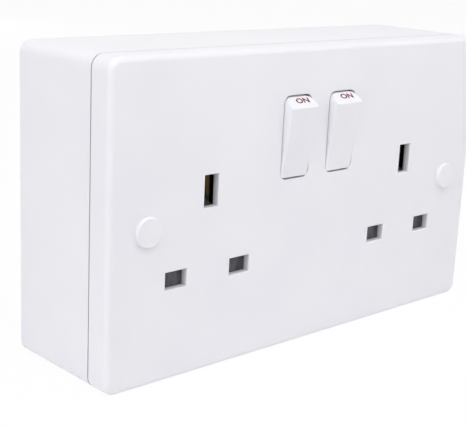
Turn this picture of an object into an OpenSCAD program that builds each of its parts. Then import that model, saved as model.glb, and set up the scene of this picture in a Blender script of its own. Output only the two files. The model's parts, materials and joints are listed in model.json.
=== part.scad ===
// Two gang switched socket outlet on a surface wall box.
// Frame: origin in the middle of the wall face of the box, +X to the right as
// seen from the front, the front looks along -Y, +Z is up.
// Depths named ..._d are measured from the front face of the plate inwards.

/* [Plate] */
// width of the plate and of the box
plate_w = 145; // [140:1:152]
// height of the plate and of the box
plate_h = 86; // [84:1:90]
// depth of the plate from its rim to its front face
plate_depth = 7.5; // [7.5:0.5:9]
// thickness of the front face
face_t = 2.2; // [2:0.1:2.4]
// thickness of the skirt round the plate
skirt_t = 1.8; // [1.6:0.1:2]
// radius of the outline corners
corner_r = 3.4; // [3:0.1:4.4]
// rounding of the front edge
face_edge_r = 1.6; // [1:0.1:3]
// open gap at the seam between plate and box
seam_gap = 0.45; // [0.2:0.05:0.5]
// reach of the seam gap into the wall
seam_reach = 1; // [0.5:0.1:1]

/* [Box] */
// depth of the box from the wall to the seam
box_depth = 32; // [32:1:44]
// thickness of the box walls
box_wall = 2.5; // [2.3:0.1:2.5]
// thickness of the box floor
box_floor = 2.5; // [2:0.1:3]
// height of the locating lip above the seam
lip_h = 1.5; // [1:0.1:2]
// thickness of the locating lip
lip_t = 1; // [0.8:0.1:1.2]
// length of the lip root below the seam
lip_root = 2.5; // [2:0.1:4]
// diameter of the fixing posts
post_dia = 9; // [8.5:0.1:9.4]
// thickness of the web that ties each post to its wall
post_web_t = 3; // [2:0.1:4]
// depth of the clearance bore in each post
post_bore_depth = 24; // [20:1:26]
// diameter of the clearance bore in each post
post_bore_dia = 4; // [3.8:0.1:4.4]
// width of the wall fixing slots
wall_slot_w = 4.5; // [4:0.1:5.5]
// length of the wall fixing slots
wall_slot_len = 9; // [7:0.5:12]
// half distance between the wall fixing slots across
wall_slot_x = 42; // [36:1:48]
// half distance between the wall fixing slots in height
wall_slot_z = 24; // [18:1:28]
// width of the thinned cable entry panels
knockout_w = 20; // [16:1:24]
// depth of the thinned cable entry panels
knockout_depth = 16; // [12:1:18]
// skin left in the cable entry panels
knockout_skin = 0.9; // [0.6:0.1:1.2]
// step from the wall to the first cable entry panel
knockout_inset = 8; // [6:1:10]
// half distance between the cable entry panels
knockout_x = 38; // [32:1:44]
// diameter of the rear cable entry
rear_entry_dia = 20; // [16:1:24]
// width of the groove round the rear cable entry
rear_groove_w = 1.2; // [0.8:0.1:1.6]

/* [Fixings] */
// half distance between the two fixing screws
fixing_x = 60.3; // [60:0.1:60.5]
// height of the fixing screws against the middle of the plate
fixing_z = -1.1; // [-1.5:0.1:0]
// diameter of the fixing screw thread
fixing_dia = 3.5; // [3.4:0.1:3.5]
// length of the fixing screw under its head
fixing_len = 20; // [18:1:24]
// diameter of the fixing screw head
fixing_head_dia = 6.4; // [6:0.1:6.6]
// height of the fixing screw head
fixing_head_h = 2.1; // [1.8:0.1:2.2]
// diameter of the screw wells in the plate
well_dia = 7.2; // [7:0.1:7.4]
// depth of the screw wells in the plate
well_depth = 4.4; // [4.2:0.1:4.6]
// diameter of the boss round each screw well
well_boss_dia = 11; // [10:0.1:11.4]
// diameter of the fixing hole in the plate
fixing_hole_dia = 4; // [3.8:0.1:4.4]
// width of the screwdriver slots
driver_slot_w = 0.9; // [0.7:0.1:1.2]
// depth of the screwdriver slots
driver_slot_depth = 1; // [0.7:0.1:1.2]
// diameter of the screw caps
cap_dia = 8; // [7.8:0.1:9]
// how far the screw caps stand proud
cap_h = 1.1; // [1:0.1:1.6]
// rounding of the cap rim
cap_edge_r = 0.4; // [0.3:0.1:0.9]
// depth of the hollow stem of the cap
cap_stem_depth = 1.7; // [1.2:0.1:1.9]
// wall of the hollow stem of the cap
cap_stem_wall = 0.9; // [0.7:0.1:1.2]
// outer diameter of the brass inserts
insert_dia = 5.2; // [5:0.1:5.6]
// length of the brass inserts
insert_len = 8; // [6:0.5:10]
// setback of the brass inserts in the posts
insert_setback = 0.4; // [0.2:0.1:1]

/* [Socket apertures] */
// half distance between the middles of the two sockets
socket_x = 39.4; // [38.8:0.1:39.6]
// height of the line and neutral apertures
pin_z = -15.4; // [-15.6:0.1:-15]
// half distance between the line and neutral pins
pin_half_pitch = 11.1; // [11:0.05:11.2]
// rise of the earth pin above the line and neutral pins
earth_rise = 22.2; // [22:0.1:22.4]
// width of the line and neutral apertures
pin_hole_w = 7.2; // [6.8:0.1:7.3]
// height of the line and neutral apertures
pin_hole_h = 4.8; // [4.4:0.1:4.9]
// width of the earth apertures
earth_hole_w = 4.8; // [4.4:0.1:5]
// height of the earth apertures
earth_hole_h = 8.8; // [8.4:0.1:9]
// chamfer round the mouth of each aperture
mouth_chamfer = 0.25; // [0.1:0.05:0.4]

/* [Rockers] */
// half distance between the two rockers
rocker_x = 9; // [8.8:0.1:9.2]
// height of the rocker pivots
rocker_z = 18.15; // [17.8:0.05:18.4]
// width of the rocker windows
window_w = 11.1; // [10.8:0.1:11.3]
// height of the rocker windows
window_h = 23.5; // [23.3:0.1:24]
// corner radius of the rockers and their windows
window_r = 2.3; // [1.5:0.1:2.6]
// gap between a rocker and its window
rocker_gap = 0.3; // [0.25:0.05:0.4]
// depth of the rocker pivots
pivot_d = 2.6; // [2.4:0.1:2.8]
// half of the rocker throw in degrees
rocker_half_throw = 8.7; // [7:0.1:9]
// radius of the rocker ends round the pivot
rocker_sweep_r = 11.5; // [11.3:0.05:11.5]
// front face of a rocker above its pivot
rocker_front = 4.26; // [4:0.02:4.4]
// height of the edge between rocker face and legend facet
facet_edge = 9.3; // [9:0.1:9.6]
// height of the far end of the legend facet
facet_end = 11.46; // [11.3:0.02:11.46]
// far end of the legend facet above the pivot
facet_front = 0.88; // [0.7:0.02:1.1]
// rounding of the facet edge
facet_r = 0.6; // [0.3:0.1:0.8]
// rounding of the rocker side edges
rocker_edge_r = 0.6; // [0.3:0.1:0.8]
// wall of the rocker shell
rocker_wall = 1.3; // [1.1:0.1:1.4]
// rear edge of the rocker skirt behind the pivot
rocker_skirt = 3.4; // [3:0.1:3.6]
// diameter of the pivot stubs
stub_dia = 2.4; // [2.2:0.1:2.6]
// length of the pivot stubs
stub_len = 1.4; // [1.2:0.1:1.5]
// wall of the collar round each window
collar_t = 1.6; // [1.4:0.1:1.7]
// rear end of the collars
collar_d = 6.2; // [5.8:0.1:6.4]
// width of the snap throat behind each pivot bore
throat_w = 2.2; // [2:0.1:2.3]
// outer diameter of the plunger tube
tube_dia = 5.4; // [5.2:0.1:5.6]
// gap between the end of the plunger tube and the fulcrum depth
tube_gap = 5; // [4.6:0.1:5.4]
// front end of the tube bore ahead of the pivot
tube_bore_front = 1.4; // [1:0.1:1.8]

/* [Switches] */
// diameter of the plungers
plunger_dia = 3; // [2.8:0.1:3]
// gap between the tip of the plunger and the fulcrum depth
plunger_gap = 1; // [1:0.1:1.4]
// length of the plungers
plunger_len = 8.4; // [8:0.1:8.8]
// rise of the fulcrum ahead of the live busbar
fulcrum_rise = 1.5; // [1.3:0.1:1.5]
// half of the rocking contact throw in degrees
rocking_half_throw = 9.5; // [9:0.1:9.8]
// rise of the rocking contact wings in degrees
wing_angle = 13.85; // [13.4:0.05:14.2]
// length of each rocking contact wing
wing_len = 10.2; // [10:0.1:10.4]
// width of the rocking contacts
wing_w = 5; // [4.6:0.1:5]
// thickness of the rocking contacts
wing_t = 0.8; // [0.7:0.05:0.8]
// wire diameter of the plunger springs
spring_wire = 0.4; // [0.3:0.05:0.45]
// turns of the plunger springs
spring_turns = 6; // [5:1:7]
// distance from the fulcrum to the contact tips
tip_arm = 8.5; // [8.3:0.1:8.6]
// diameter of the contact tips
tip_dia = 3; // [2.6:0.1:3.2]
// height of the moving contact tips
moving_tip_h = 0.8; // [0.7:0.05:0.85]
// height of the fixed contact tips
fixed_tip_h = 1.2; // [1.1:0.05:1.2]
// diameter of the rivet shanks of the tips
rivet_dia = 1.4; // [1.2:0.1:1.6]
// diameter of the upset rivet ends
upset_dia = 2.2; // [2:0.1:2.4]
// height of the upset rivet ends
upset_h = 0.3; // [0.2:0.05:0.4]
// half length of the locating ears
ear_half = 1.2; // [1:0.1:1.3]
// height of the locating ears
ear_h = 1.1; // [0.9:0.1:1.2]
// thickness of the locating ears
ear_t = 0.6; // [0.5:0.05:0.7]
// width of the fulcrum posts
fulcrum_w = 3.4; // [3:0.1:3.4]
// thickness of the fulcrum posts
fulcrum_t = 1.2; // [1:0.1:1.4]

/* [Shutters] */
// thickness of the shutters
shutter_t = 1.6; // [1.4:0.1:1.6]
// travel of the shutters
shutter_travel = 5.8; // [5.7:0.1:5.9]
// half width of the shutter plates
shutter_half_w = 15.4; // [15.2:0.1:15.5]
// overlap of the shutter above the apertures
shutter_over = 1; // [0.9:0.05:1]
// overlap of the shutter below the apertures
shutter_under = 1; // [0.8:0.1:1]
// half width of the shutter necks
neck_half_w = 3; // [2.6:0.1:3.2]
// half width of the shutter ramps
ramp_half_w = 1.6; // [1.4:0.1:1.6]
// depth of the ramp from foot to crest
ramp_depth = 4.8; // [4.6:0.1:5]
// thickness of the ramp crest
ramp_crest_t = 0.8; // [0.6:0.1:1]
// length of the flat on the ramp crest
ramp_flat = 2.1; // [1.8:0.1:2.4]
// start of the ramp gusset below its foot
gusset_drop = 5.8; // [5:0.1:6.4]
// height of the spring lug on the shutters
lug_h = 1.5; // [1.2:0.1:1.8]
// half width of the spring lug on the shutters
lug_half_w = 2.5; // [2.2:0.1:2.8]
// rear end of the spring lug
lug_d = 8.6; // [8.4:0.1:9]
// outer radius of the shutter springs
shutter_spring_r = 1.9; // [1.6:0.1:2]
// wire diameter of the shutter springs
shutter_wire = 0.45; // [0.4:0.05:0.5]
// turns of the shutter springs
shutter_turns = 9; // [8:1:10]
// depth of the shutter spring axis
shutter_spring_d = 6.4; // [6.2:0.1:6.6]
// thickness of the neck guides
guide_t = 1.4; // [1.2:0.1:1.8]
// length of the neck guides
guide_len = 9; // [8:0.5:10]
// lower end of the neck guides above the pins
guide_rise = 6; // [5:0.5:7]

/* [Straps and contacts] */
// thickness of the brass straps
strap_t = 0.8; // [0.7:0.05:0.8]
// thickness of the contact leaves
leaf_t = 0.7; // [0.6:0.05:0.8]
// height of the line and neutral straps ahead of the cover floor
strap_rise = 4.9; // [4.8:0.1:5]
// gap between the earth strap and the cover floor
earth_gap = 0.2; // [0.1:0.05:0.3]
// width of the line and neutral contacts
pin_clip_w = 6; // [5.6:0.1:6.2]
// mouth of the line and neutral contacts
pin_clip_d = 5.6; // [5.4:0.1:6]
// half opening of the contact mouth
pin_mouth = 2.7; // [2.5:0.1:2.8]
// half opening of the contact throat
pin_throat = 1.75; // [1.6:0.05:1.85]
// half opening of the contact root
pin_root = 2.2; // [2.1:0.1:2.4]
// depth of the contact throat
pin_throat_d = 8.4; // [8:0.1:9]
// depth where the contact leaves meet the root
pin_root_d = 13; // [12:0.5:14]
// height of the earth contacts
earth_clip_h = 7.6; // [7:0.1:7.8]
// mouth of the earth contacts
earth_clip_d = 3.3; // [3.2:0.1:3.6]
// half opening of the earth contact mouth
earth_mouth = 2.7; // [2.5:0.1:2.8]
// half opening of the earth contact throat
earth_throat = 1.85; // [1.8:0.05:1.9]
// half opening of the earth contact root
earth_root = 2.3; // [2.1:0.1:2.5]
// depth of the earth contact throat
earth_throat_d = 9; // [8.4:0.1:10]
// depth where the earth contact leaves meet the root
earth_root_d = 15; // [14:0.5:17]
// width of the strap arms
arm_w = 4; // [3.6:0.1:4.2]
// outward reach of the switched arms
switched_x = 19; // [18.6:0.1:19.4]
// height of the cross arm of the switched straps
cross_z = -4; // [-4.4:0.1:-3.6]
// width of the neutral bar
neutral_w = 3.5; // [3.2:0.1:3.8]
// height of the neutral bar
neutral_z = -22.5; // [-22.6:0.1:-22.5]
// width of the live busbar
busbar_w = 5; // [4.6:0.1:5]
// half length of the live busbar
busbar_half = 11.5; // [11:0.1:12]
// width of the strap tails in the terminals
tail_w = 5; // [4.6:0.1:5.2]
// half distance between the earth terminals
earth_term_x = 30; // [29.4:0.1:30.6]
// lower side of the step in the earth strap
earth_step_z = 22; // [21.5:0.1:22.4]

/* [Terminals] */
// width of the terminal blocks
term_w = 8; // [7.6:0.1:8.4]
// height of the terminal blocks
term_h = 7; // [6.6:0.1:7.4]
// wall of the terminal blocks
term_wall = 1.2; // [1:0.1:1.4]
// wire room in the terminal blocks
term_room = 4.1; // [4:0.1:4.3]
// thickness of the threaded side of the terminal blocks
term_thread_t = 2.3; // [2:0.1:2.4]
// middle of the upper terminals below the cover top
term_top_gap = 7.4; // [7.2:0.1:7.6]
// middle of the lower terminal above the cover bottom
term_low_gap = 5.7; // [5.6:0.1:5.7]
// middle of the neutral terminal across
neutral_term_x = -16; // [-17:0.1:-15]
// diameter of the terminal screws
term_screw_dia = 3.6; // [3.4:0.1:3.8]
// diameter of the terminal screw heads
term_head_dia = 5.4; // [5:0.1:5.6]
// height of the terminal screw heads
term_head_h = 1.5; // [1.3:0.1:1.8]
// tip of the terminal screws ahead of the threaded side
term_tip = 2; // [1.5:0.1:2.4]

/* [Rear cover] */
// half width of the rear cover
cover_half_w = 57.8; // [57.6:0.1:58]
// gap between the top edges of the plate and of the rear cover
cover_top_gap = 7; // [6.6:0.1:7.2]
// gap between the bottom edges of the plate and of the rear cover
cover_low_gap = 9.4; // [9:0.1:9.4]
// wall of the rear cover
cover_wall = 1.8; // [1.6:0.1:1.8]
// floor of the rear cover
cover_floor = 1.8; // [1.6:0.1:2]
// inner floor of the rear cover
cover_floor_d = 24.2; // [24.1:0.1:24.4]
// front rim of the rear cover
cover_rim_d = 2.3; // [2.3:0.05:2.5]
// radius of the waist round the fixing posts
waist_r = 7.2; // [6.8:0.1:7.4]
// wall of the contact chambers
chamber_wall = 1.1; // [1:0.1:1.2]
// front end of the contact chambers
chamber_d = 4.4; // [4.3:0.1:4.6]
// half height of the line and neutral chambers
chamber_half_h = 4.1; // [4:0.1:4.2]
// half width of the earth chambers
earth_chamber_half_w = 4.2; // [4:0.1:4.4]
// front end of the earth chambers
earth_chamber_d = 9; // [8.8:0.1:9.4]
// diameter of the cover screw posts
cover_post_dia = 6; // [5.6:0.1:6.2]
// meeting depth of plate posts and cover tubes
cover_split_d = 12; // [11:0.5:13]
// diameter of the cover screws
cover_screw_dia = 3; // [2.8:0.1:3]
// length of the cover screws
cover_screw_len = 16; // [15:0.5:17]
// diameter of the cover screw heads
cover_head_dia = 5; // [4.6:0.1:5]
// height of the cover screw heads
cover_head_h = 1.9; // [1.7:0.1:2.1]
// depth of the counterbores for the cover screws
cover_sink = 2.6; // [2.4:0.1:2.8]
// upper cover screws across
screw_top_x = 46; // [45.5:0.1:46.5]
// upper cover screws in height
screw_top_z = 30; // [29.6:0.1:30.4]
// lower cover screws across
screw_low_x = 48.5; // [48:0.1:49]
// lower cover screws in height
screw_low_z = -28.2; // [-28.4:0.1:-28]
// middle cover screw in height
screw_mid_z = -9.5; // [-10:0.1:-9]
// width of the wire notches at the terminals
wire_notch_w = 6.4; // [6:0.1:6.8]
// half side of the strap pedestals
pedestal_half = 1.6; // [1.4:0.1:1.8]

/* [Clearances] */
// running clearance of the moving parts
run_gap = 0.1; // [0.08:0.01:0.12]
// clearance between seated parts
seat_gap = 0.05; // [0.04:0.01:0.08]
// clearance between the lip and the skirt
lip_gap = 0.15; // [0.1:0.05:0.2]
// clearance of loosely placed parts
loose_gap = 0.3; // [0.2:0.05:0.4]

/* [Hidden] */
$fn = 48;
overrun = 1;
half_w = plate_w / 2;
half_h = plate_h / 2;
face_y = -(box_depth + plate_depth);
rim_d = plate_depth;
wall_d = box_depth + plate_depth;
earth_z = pin_z + earth_rise;
cover_top = half_h - cover_top_gap;
cover_bottom = cover_low_gap - half_h;
cover_rear_d = cover_floor_d + cover_floor;
strap_rear_d = cover_floor_d - strap_rise;
strap_d = strap_rear_d - strap_t;
earth_rear_d = cover_floor_d - earth_gap;
earth_strap_d = earth_rear_d - strap_t;
fulcrum_d = strap_d - fulcrum_rise;
plunger_reach = fulcrum_d - pivot_d - plunger_gap;
plunger_seat = plunger_reach - plunger_len;
tube_end = fulcrum_d - pivot_d - tube_gap;
rocker_w = window_w - 2 * rocker_gap;
facet_turn = atan2(rocker_front - facet_front, facet_end - facet_edge);
facet_tangent = facet_r * tan(facet_turn / 2);
plunger_r = plunger_dia / 2;
tip_angle = wing_angle - rocking_half_throw;
tip_z = rocker_z + tip_arm * cos(tip_angle);
shutter_d = face_t + run_gap;
shutter_top = pin_z + pin_hole_h / 2 + shutter_over;
shutter_low = pin_z - pin_hole_h / 2 - shutter_under;
ramp_foot = earth_z - (earth_hole_h - 2 * loose_gap - 2 * seat_gap) / 2;
ramp_crest = ramp_foot + shutter_travel;
gusset_z = ramp_foot - gusset_drop;
spring_foot = cover_bottom + cover_wall + seat_gap;
term_room_d = strap_d - seat_gap;
term_front_d = term_room_d - term_wall;
term_back_d = term_room_d + term_room + term_thread_t;
term_chamber_d = term_front_d - run_gap - chamber_wall;
term_top_z = cover_top - term_top_gap;
term_low_z = cover_bottom + term_low_gap;
chamber_half_w = pin_clip_w / 2 + loose_gap;
earth_chamber_half_h = earth_clip_h / 2 + loose_gap;
cover_tube_dia = cover_post_dia + 2 * chamber_wall;
live_pins = [-socket_x + pin_half_pitch, socket_x + pin_half_pitch];
neutral_pins = [-socket_x - pin_half_pitch, socket_x - pin_half_pitch];
cover_screws_at = [[-screw_top_x, screw_top_z], [screw_top_x, screw_top_z],
  [-screw_low_x, screw_low_z], [screw_low_x, screw_low_z], [0, screw_mid_z]];
terminals_at = [[0, term_top_z], [-earth_term_x, term_top_z], [earth_term_x, term_top_z],
  [neutral_term_x, term_low_z]];
pedestals_at = [[live_pins[0], pin_z], [live_pins[1], pin_z], [neutral_pins[0], pin_z],
  [neutral_pins[1], pin_z], [-switched_x, rocker_z], [switched_x, rocker_z],
  [0, rocker_z], [-switched_x, cross_z], [switched_x, cross_z],
  [0, neutral_z], [-socket_x, neutral_z]];

moulding = [0.93, 0.93, 0.95];
inner_moulding = [0.86, 0.86, 0.84];
shutter_grey = [0.3, 0.3, 0.32];
brass = [0.78, 0.62, 0.3];
steel = [0.72, 0.72, 0.74];
silver = [0.85, 0.85, 0.86];

function depth_y(d) = face_y + d;

// box between two corners, its depth measured from the front face
module block(x0, x1, z0, z1, d0, d1) {
  translate([x0, depth_y(d0), z0])
    cube([x1 - x0, d1 - d0, z1 - z0]);
}

// flat outline drawn across and upwards, as thick as its depths say
module slab(d0, d1) {
  translate([0, depth_y(d1), 0])
    rotate([90, 0, 0])
      linear_extrude(height = d1 - d0)
        children();
}

// side outline drawn as depth and height, as wide as its span says
module side_slab(x0, x1) {
  translate([x0, face_y, 0])
    rotate([90, 0, 90])
      linear_extrude(height = x1 - x0)
        children();
}

module rod(x, z, r, d0, d1) {
  translate([x, depth_y(d1), z])
    rotate([90, 0, 0])
      cylinder(h = d1 - d0, r = r);
}

module rounded(w, h, r) {
  square([w - 2 * r, h], center = true);
  square([w, h - 2 * r], center = true);
  for (sx = [-1, 1])
    for (sz = [-1, 1])
      translate([sx * (w / 2 - r), sz * (h / 2 - r)])
        circle(r = r);
}

// section through the rounded edge of the plate, from the corner axis outwards
module plate_edge() {
  polygon([[0, 0], [corner_r, 0], [corner_r, plate_depth - face_edge_r],
    [corner_r - face_edge_r, plate_depth], [0, plate_depth]]);
  intersection() {
    translate([corner_r - face_edge_r, plate_depth - face_edge_r])
      circle(r = face_edge_r);
    square([corner_r, plate_depth]);
  }
}

module plate_body() {
  translate([0, depth_y(rim_d), 0])
    rotate([90, 0, 0]) {
      translate([0, 0, plate_depth / 2])
        cube([plate_w - 2 * corner_r, plate_h - 2 * corner_r, plate_depth], center = true);
      for (m = [0, 1]) {
        mirror([m, 0, 0])
          translate([half_w - corner_r, half_h - corner_r, 0])
            rotate([90, 0, 0])
              linear_extrude(height = plate_h - 2 * corner_r)
                plate_edge();
        mirror([0, m, 0])
          translate([-(half_w - corner_r), half_h - corner_r, 0])
            rotate([90, 0, 90])
              linear_extrude(height = plate_w - 2 * corner_r)
                plate_edge();
        for (n = [0, 1])
          mirror([m, 0, 0])
            mirror([0, n, 0])
              translate([half_w - corner_r, half_h - corner_r, 0])
                rotate_extrude(angle = 90)
                  plate_edge();
      }
    }
}

// side profile of a rocker: outside with no inset, inside with the wall as inset
module rocker_section(inset) {
  edge_v = facet_edge - inset * tan(facet_turn / 2);
  cut_u = -rocker_front + inset;
  far = rocker_sweep_r + overrun;
  tangent = inset == 0 ? facet_tangent : 0;
  intersection() {
    circle(r = rocker_sweep_r - inset);
    union() {
      polygon([[cut_u, -far], [cut_u, edge_v - tangent],
        [cut_u + tangent * sin(facet_turn), edge_v + tangent * cos(facet_turn)],
        [cut_u + far * sin(facet_turn), edge_v + far * cos(facet_turn)],
        [rocker_skirt + overrun, far], [rocker_skirt + overrun, -far]]);
      if (inset == 0)
        translate([-rocker_front + facet_r, facet_edge - facet_tangent])
          circle(r = facet_r);
    }
  }
}

module across(w) {
  translate([-w / 2, 0, 0])
    rotate([90, 0, 90])
      linear_extrude(height = w)
        children();
}

// local frame of a rocker in its rest position, axis of the pivot along X
module rocker_frame(side) {
  translate([side * rocker_x, depth_y(pivot_d), rocker_z])
    rotate([rocker_half_throw, 0, 0])
      children();
}

module rocker_shell() {
  intersection() {
    across(rocker_w + overrun)
      rocker_section(0);
    translate([0, 0, -(rocker_sweep_r + overrun)])
      linear_extrude(height = 2 * (rocker_sweep_r + overrun)) {
        translate([-rocker_w / 2, -rocker_front + rocker_edge_r])
          square([rocker_w, rocker_front + rocker_skirt - rocker_edge_r]);
        translate([-rocker_w / 2 + rocker_edge_r, -rocker_front])
          square([rocker_w - 2 * rocker_edge_r, rocker_front]);
        for (s = [-1, 1])
          translate([s * (rocker_w / 2 - rocker_edge_r), -rocker_front + rocker_edge_r])
            circle(r = rocker_edge_r);
      }
    translate([0, rocker_skirt + overrun, 0])
      rotate([90, 0, 0])
        linear_extrude(height = rocker_front + rocker_skirt + 2 * overrun)
          rounded(rocker_w, window_h - 2 * rocker_gap, window_r);
  }
}

module rocker(side) {
  color(moulding)
    rocker_frame(side)
      difference() {
        union() {
          difference() {
            rocker_shell();
            across(rocker_w - 2 * rocker_wall)
              rocker_section(rocker_wall);
          }
          translate([0, tube_end, 0])
            rotate([90, 0, 0])
              cylinder(h = tube_end + rocker_front - rocker_wall / 2, r = tube_dia / 2);
          for (s = [-1, 1])
            translate([s * (rocker_w / 2 - rocker_wall / 2), 0, 0])
              rotate([0, s * 90, 0])
                cylinder(h = stub_len + rocker_wall / 2, r = stub_dia / 2);
        }
        translate([0, tube_end + overrun, 0])
          rotate([90, 0, 0])
            cylinder(h = tube_end + overrun + tube_bore_front, r = plunger_r + run_gap);
      }
}

module plunger(side) {
  color(inner_moulding)
    rocker_frame(side) {
      translate([0, plunger_reach - plunger_r, 0])
        rotate([90, 0, 0])
          cylinder(h = plunger_reach - plunger_r - plunger_seat, r = plunger_r);
      translate([0, plunger_reach - plunger_r, 0])
        rotate([-90, 0, 0])
          rotate_extrude()
            intersection() {
              circle(r = plunger_r);
              square([plunger_r, plunger_r]);
            }
    }
}

// round wire coil standing on its end, wound upwards
module coil(r, wire, length, turns) {
  steps = turns * 14;
  sides = 6;
  ring_r = r - wire / 2;
  rise = length - wire;
  points = [for (i = [0 : steps], k = [0 : sides - 1])
    let (a = 360 * turns * i / steps, b = 360 * k / sides, q = ring_r + wire / 2 * cos(b))
      [q * cos(a), q * sin(a), wire / 2 + rise * i / steps + wire / 2 * sin(b)]];
  walls = [for (i = [0 : steps - 1], k = [0 : sides - 1])
    let (n = (k + 1) % sides, p = i * sides)
      [p + k, p + k + sides, p + n + sides, p + n]];
  polyhedron(points = points,
    faces = concat([[for (k = [0 : sides - 1]) k]], walls,
      [[for (k = [0 : sides - 1]) steps * sides + sides - 1 - k]]), convexity = 8);
}

module plunger_spring(side) {
  color(steel)
    rocker_frame(side)
      translate([0, -tube_bore_front + seat_gap, 0])
        rotate([-90, 0, 0])
          coil(plunger_r - seat_gap, spring_wire, tube_bore_front + plunger_seat - 2 * seat_gap, spring_turns);
}

// local frame of a rocking contact in its rest position, axis on the fulcrum
module contact_frame(side) {
  translate([side * rocker_x, depth_y(fulcrum_d), rocker_z])
    rotate([-rocking_half_throw, 0, 0])
      children();
}

module rocking_contact(side) {
  color(brass)
    contact_frame(side)
      difference() {
        union() {
          for (s = [-1, 1]) {
            rotate([s * wing_angle, 0, 0])
              translate([-wing_w / 2, -wing_t, s < 0 ? -wing_len : 0])
                cube([wing_w, wing_t, wing_len]);
            translate([s * (wing_w - ear_t) / 2 - ear_t / 2, -wing_t, -ear_half])
              cube([ear_t, wing_t + ear_h, 2 * ear_half]);
          }
        }
        rotate([wing_angle, 0, 0])
          translate([0, overrun, tip_arm])
            rotate([90, 0, 0])
              cylinder(h = wing_t + 2 * overrun, r = rivet_dia / 2);
      }
}

module moving_tip(side) {
  color(silver)
    contact_frame(side)
      rotate([wing_angle, 0, 0])
        translate([0, 0, tip_arm])
          rotate([90, 0, 0]) {
            translate([0, 0, -moving_tip_h])
              cylinder(h = moving_tip_h, r = tip_dia / 2);
            cylinder(h = wing_t, r = rivet_dia / 2);
            translate([0, 0, wing_t])
              cylinder(h = upset_h, r = upset_dia / 2);
          }
}

module fixed_tips() {
  color(silver)
    for (s = [-1, 1]) {
      rod(s * rocker_x, tip_z, tip_dia / 2, strap_d - fixed_tip_h, strap_d);
      rod(s * rocker_x, tip_z, rivet_dia / 2, strap_d, strap_rear_d);
      rod(s * rocker_x, tip_z, upset_dia / 2, strap_rear_d, strap_rear_d + upset_h);
    }
}

// outline of one spring leaf in opening and depth, on the positive side
module leaf(mouth, throat, root, mouth_d, throat_d, root_d, web_d) {
  polygon([[root, web_d], [root, root_d], [throat, throat_d], [mouth, mouth_d],
    [mouth + leaf_t, mouth_d], [throat + leaf_t, throat_d], [root + leaf_t, root_d],
    [root + leaf_t, web_d]]);
}

// contact that grips a flat pin above and below
module pin_clip(x) {
  for (m = [0, 1])
    translate([x - pin_clip_w / 2, face_y, pin_z])
      mirror([0, 0, m])
        rotate([90, 0, 90])
          linear_extrude(height = pin_clip_w)
            mirror([1, -1])
              leaf(pin_mouth, pin_throat, pin_root, pin_clip_d, pin_throat_d, pin_root_d, strap_rear_d);
  block(x - pin_clip_w / 2, x + pin_clip_w / 2, pin_z - pin_root - leaf_t, pin_z + pin_root + leaf_t,
    strap_d, strap_rear_d);
}

// contact that grips the earth pin from both sides
module earth_clip(x) {
  for (m = [0, 1])
    translate([x, face_y, earth_z - earth_clip_h / 2])
      mirror([m, 0, 0])
        linear_extrude(height = earth_clip_h)
          leaf(earth_mouth, earth_throat, earth_root, earth_clip_d, earth_throat_d, earth_root_d,
            earth_rear_d);
  block(x - earth_root - leaf_t, x + earth_root + leaf_t, earth_z - earth_clip_h / 2,
    earth_z + earth_clip_h / 2, earth_strap_d, earth_rear_d);
}

// flat arms of one switched live strap, grown by a clearance
module switched_arms(side, grow, d0, d1) {
  pin = live_pins[side < 0 ? 0 : 1];
  half = arm_w / 2 + grow;
  pad = side * (rocker_x - tip_dia / 2) - side * grow;
  column = side * switched_x;
  block(min(pad, column - half), max(pad, column + half), tip_z - half, tip_z + half, d0, d1);
  block(column - half, column + half, cross_z - half, tip_z + half, d0, d1);
  block(min(column, pin) - half, max(column, pin) + half, cross_z - half, cross_z + half, d0, d1);
  block(pin - half, pin + half, pin_z, cross_z + half, d0, d1);
}

module live_strap(side) {
  color(brass)
    difference() {
      union() {
        switched_arms(side, 0, strap_d, strap_rear_d);
        pin_clip(live_pins[side < 0 ? 0 : 1]);
      }
      rod(side * rocker_x, tip_z, rivet_dia / 2, strap_d - overrun, strap_rear_d + overrun);
    }
}

module neutral_arms(grow, d0, d1) {
  half = arm_w / 2 + grow;
  block(neutral_pins[0] - half, neutral_pins[1] + half, neutral_z - neutral_w / 2 - grow,
    neutral_z + neutral_w / 2 + grow, d0, d1);
  for (x = neutral_pins)
    block(x - half, x + half, neutral_z, pin_z, d0, d1);
}

module neutral_strap() {
  color(brass) {
    neutral_arms(0, strap_d, strap_rear_d);
    for (x = neutral_pins)
      pin_clip(x);
    block(neutral_term_x - tail_w / 2, neutral_term_x + tail_w / 2, term_low_z - term_h / 2,
      neutral_z, strap_d, strap_rear_d);
  }
}

module busbar_arms(grow, d0, d1) {
  block(-busbar_half - grow, busbar_half + grow, rocker_z - busbar_w / 2 - grow,
    rocker_z + busbar_w / 2 + grow, d0, d1);
  block(-tail_w / 2 - grow, tail_w / 2 + grow, rocker_z, term_top_z + term_h / 2 + grow, d0, d1);
}

module live_busbar() {
  color(brass) {
    busbar_arms(0, strap_d, strap_rear_d);
    for (s = [-1, 1])
      translate([s * rocker_x - fulcrum_w / 2, depth_y(fulcrum_d + seat_gap), rocker_z - fulcrum_t / 2])
        cube([fulcrum_w, strap_d - fulcrum_d - seat_gap, fulcrum_t]);
  }
}

module earth_arms(grow, d0, d1) {
  block(-socket_x, socket_x, earth_z - busbar_w / 2 - grow, earth_z + busbar_w / 2 + grow, d0, d1);
  for (s = [-1, 1])
    block(s * earth_term_x - tail_w / 2 - grow, s * earth_term_x + tail_w / 2 + grow, earth_z,
      earth_step_z + strap_t + grow, d0, d1);
}

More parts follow.
